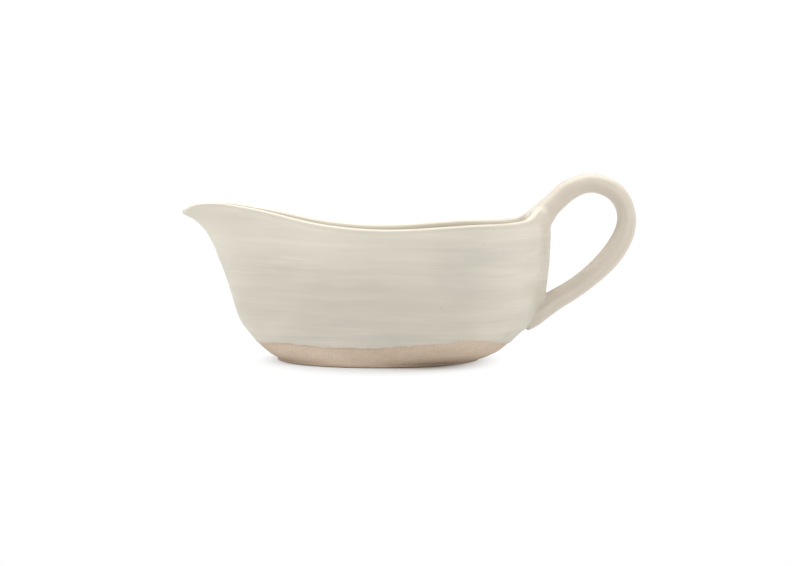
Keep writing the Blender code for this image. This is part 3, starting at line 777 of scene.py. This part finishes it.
COOL, WARM = srgb(204, 200, 186), srgb(224, 216, 202)
PALE = srgb(217, 215, 201)
THIN_GLAZE_HIGHLIGHT, THICK = srgb(228, 215, 198), srgb(212, 209, 194)
STRAP_TONE = srgb(213, 202, 187)
MILKY_PAINTED_LIGHT, BELLY_PAINTED_SHADE = srgb(228, 222, 207), srgb(203, 197, 182)
EDGE, EDGE_DARK, SPECK = srgb(204, 188, 170), srgb(172, 154, 132), srgb(128, 104, 80)

glaze = cream_glaze()
clay = bare_clay("bare_stoneware_clay", srgb(221, 203, 183), srgb(212, 193, 172), srgb(176, 152, 129))
clay_inner = bare_clay("strap_stoneware_clay", srgb(208, 188, 168), srgb(196, 172, 150), srgb(172, 146, 122))

# ================================================================ the object's pieces
outside = piece("glaze_outside", np.vstack([kept[~face_inside], apron]), [glaze])
inside_piece = piece("glaze_inside", kept[face_inside], [glaze])
for obj in (outside, inside_piece):
    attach(obj, "root")
    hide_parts("glaze_coat")

# The clay pot: true to size below the glaze line, a little shy of the coat above it.
n_clay = 288
full, s0, e0 = vessel_grid(n_clay, 0.0, 90, 8, 40, 12)
shy, _, e1 = vessel_grid(n_clay, -0.6, 90, 8, 40, 12)
flat = full.reshape(-1, 3)
ang = np.arctan2(flat[:, 1] / FOOT_HALF_WIDTH, -(flat[:, 0] - FOOT_CENTRE_X) / FOOT_HALF_LENGTH)
edge_z = glaze_line(ang)
w = smooth_step(0.4, 2.4, flat[:, 2] - edge_z)
w[(np.arange(len(flat)) // n_clay) >= 11 + 90] = 1.0
flat = flat * (1 - w[:, None]) + shy.reshape(-1, 3) * w[:, None]
lumps = 0.10 * value_noise(flat / 14.0, 31) + 0.04 * value_noise(flat / 4.0, 32)
lumps *= smooth_step(0.6, 3.0, flat[:, 2]) * (1 - w)
radial = flat - np.array([FOOT_CENTRE_X, 0, 0]); radial[:, 2] = 0
flat = flat + unit(radial) * lumps[:, None]
pot_mesh = grid_mesh("vessel_clay", flat.reshape(full.shape), s0, e1)
pot_mesh.shade_smooth()
pot_mesh.materials.append(clay)
pot = as_object(pot_mesh)
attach(pot, "root")
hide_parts("vessel")

for name in ("strap_handle", "rear_rib", "luting_slip_upper", "luting_slip_lower"):
    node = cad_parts[name]
    node.data.materials.clear()
    node.data.materials.append(clay_inner)

# ================================================================ floor, light, camera
floor_mesh = bpy.data.meshes.new("floor")
R = 4.0
floor_mesh.from_pydata([(-R, -R, 0), (R, -R, 0), (R, R, 0), (-R, R, 0)], [], [(0, 1, 2, 3)])
floor = as_object(floor_mesh)
floor_mat, floor_nt, fs = new_material("floor_white")
fs.inputs["Base Color"].default_value = (0.71, 0.71, 0.71, 1)
fs.inputs["Roughness"].default_value = 0.9
fs.inputs["Specular IOR Level"].default_value = 0.0
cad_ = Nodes(floor_nt)                                # the sweep glows evenly white away from the pot
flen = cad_.add("ShaderNodeVectorMath", operation="LENGTH")
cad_.link(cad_.coords((1 / 0.060, 1 / 0.0735, 1), (0.0157 / 0.060, 0, 0)), flen.inputs[0])
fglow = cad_.add("ShaderNodeEmission"); fglow.inputs["Strength"].default_value = 1.02
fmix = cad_.add("ShaderNodeMixShader")
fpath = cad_.add("ShaderNodeLightPath")
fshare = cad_.math("MULTIPLY_ADD", fpath.outputs["Is Camera Ray"], 0.55, 0.45)
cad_.link(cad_.math("MULTIPLY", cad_.span(flen.outputs["Value"], 0.58, 1.10), fshare), fmix.inputs[0])
fout = [n for n in floor_nt.nodes if n.type == "OUTPUT_MATERIAL"][0]
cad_.link(fs.outputs[0], fmix.inputs[1]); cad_.link(fglow.outputs[0], fmix.inputs[2])
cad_.link(fmix.outputs[0], fout.inputs["Surface"])
floor_mesh.materials.append(floor_mat)

world = bpy.data.worlds.new("studio")
bpy.context.scene.world = world
world.use_nodes = True
wk = Nodes(world.node_tree)
for n in list(world.node_tree.nodes):
    world.node_tree.nodes.remove(n)
out = wk.add("ShaderNodeOutputWorld")
ambient = wk.add("ShaderNodeBackground"); ambient.inputs["Color"].default_value = (1, 1, 1, 1); ambient.inputs["Strength"].default_value = 0.52
seen = wk.add("ShaderNodeBackground"); seen.inputs["Color"].default_value = (1, 1, 1, 1); seen.inputs["Strength"].default_value = 1.02
lp = wk.add("ShaderNodeLightPath"); ms = wk.add("ShaderNodeMixShader")
wk.link(lp.outputs["Is Camera Ray"], ms.inputs[0])
wk.link(ambient.outputs[0], ms.inputs[1]); wk.link(seen.outputs[0], ms.inputs[2])
wk.link(ms.outputs[0], out.inputs["Surface"])


def softbox(name, place, aim, size, watts, colour=(1, 1, 1)):
    data = bpy.data.lights.new(name, "AREA")
    data.shape = "RECTANGLE"
    data.size, data.size_y = size
    data.energy = watts
    data.color = colour
    obj = bpy.data.objects.new(name, data)
    bpy.context.scene.collection.objects.link(obj)
    obj.location = place
    obj.rotation_euler = (Vector(aim) - Vector(place)).to_track_quat("-Z", "Y").to_euler()
    return obj


softbox("top_soft", (0.0, 0.25, 1.10), (0, 0, 0.03), (1.5, 1.2), 13.2)
softbox("left_soft", (-1.05, 0.05, 0.45), (0, 0, 0.05), (0.9, 0.8), 1.2)
softbox("left_high", (-0.80, -0.20, 0.85), (0, 0, 0.05), (0.8, 0.7), 4.0)
softbox("right_soft", (1.00, -0.10, 0.50), (0, 0, 0.05), (0.9, 0.8), 2.2)
softbox("right_front", (0.85, -0.55, 0.30), (0, 0, 0.04), (0.8, 0.5), 1.5)

scene = bpy.context.scene
scene.view_settings.view_transform = "Standard"
cam_data = bpy.data.cameras.new("camera")
cam_data.sensor_width = 36.0
cam_data.lens = 1482.0 / 792 * 36
cam = bpy.data.objects.new("camera", cam_data)
scene.collection.objects.link(cam)
cam.location = (-0.0067, -0.750, 0.095)
cam.rotation_euler = (math.radians(90 - 4.29), 0, 0)
scene.camera = cam

for m in list(bpy.data.meshes):
    if m.users == 0:
        bpy.data.meshes.remove(m)
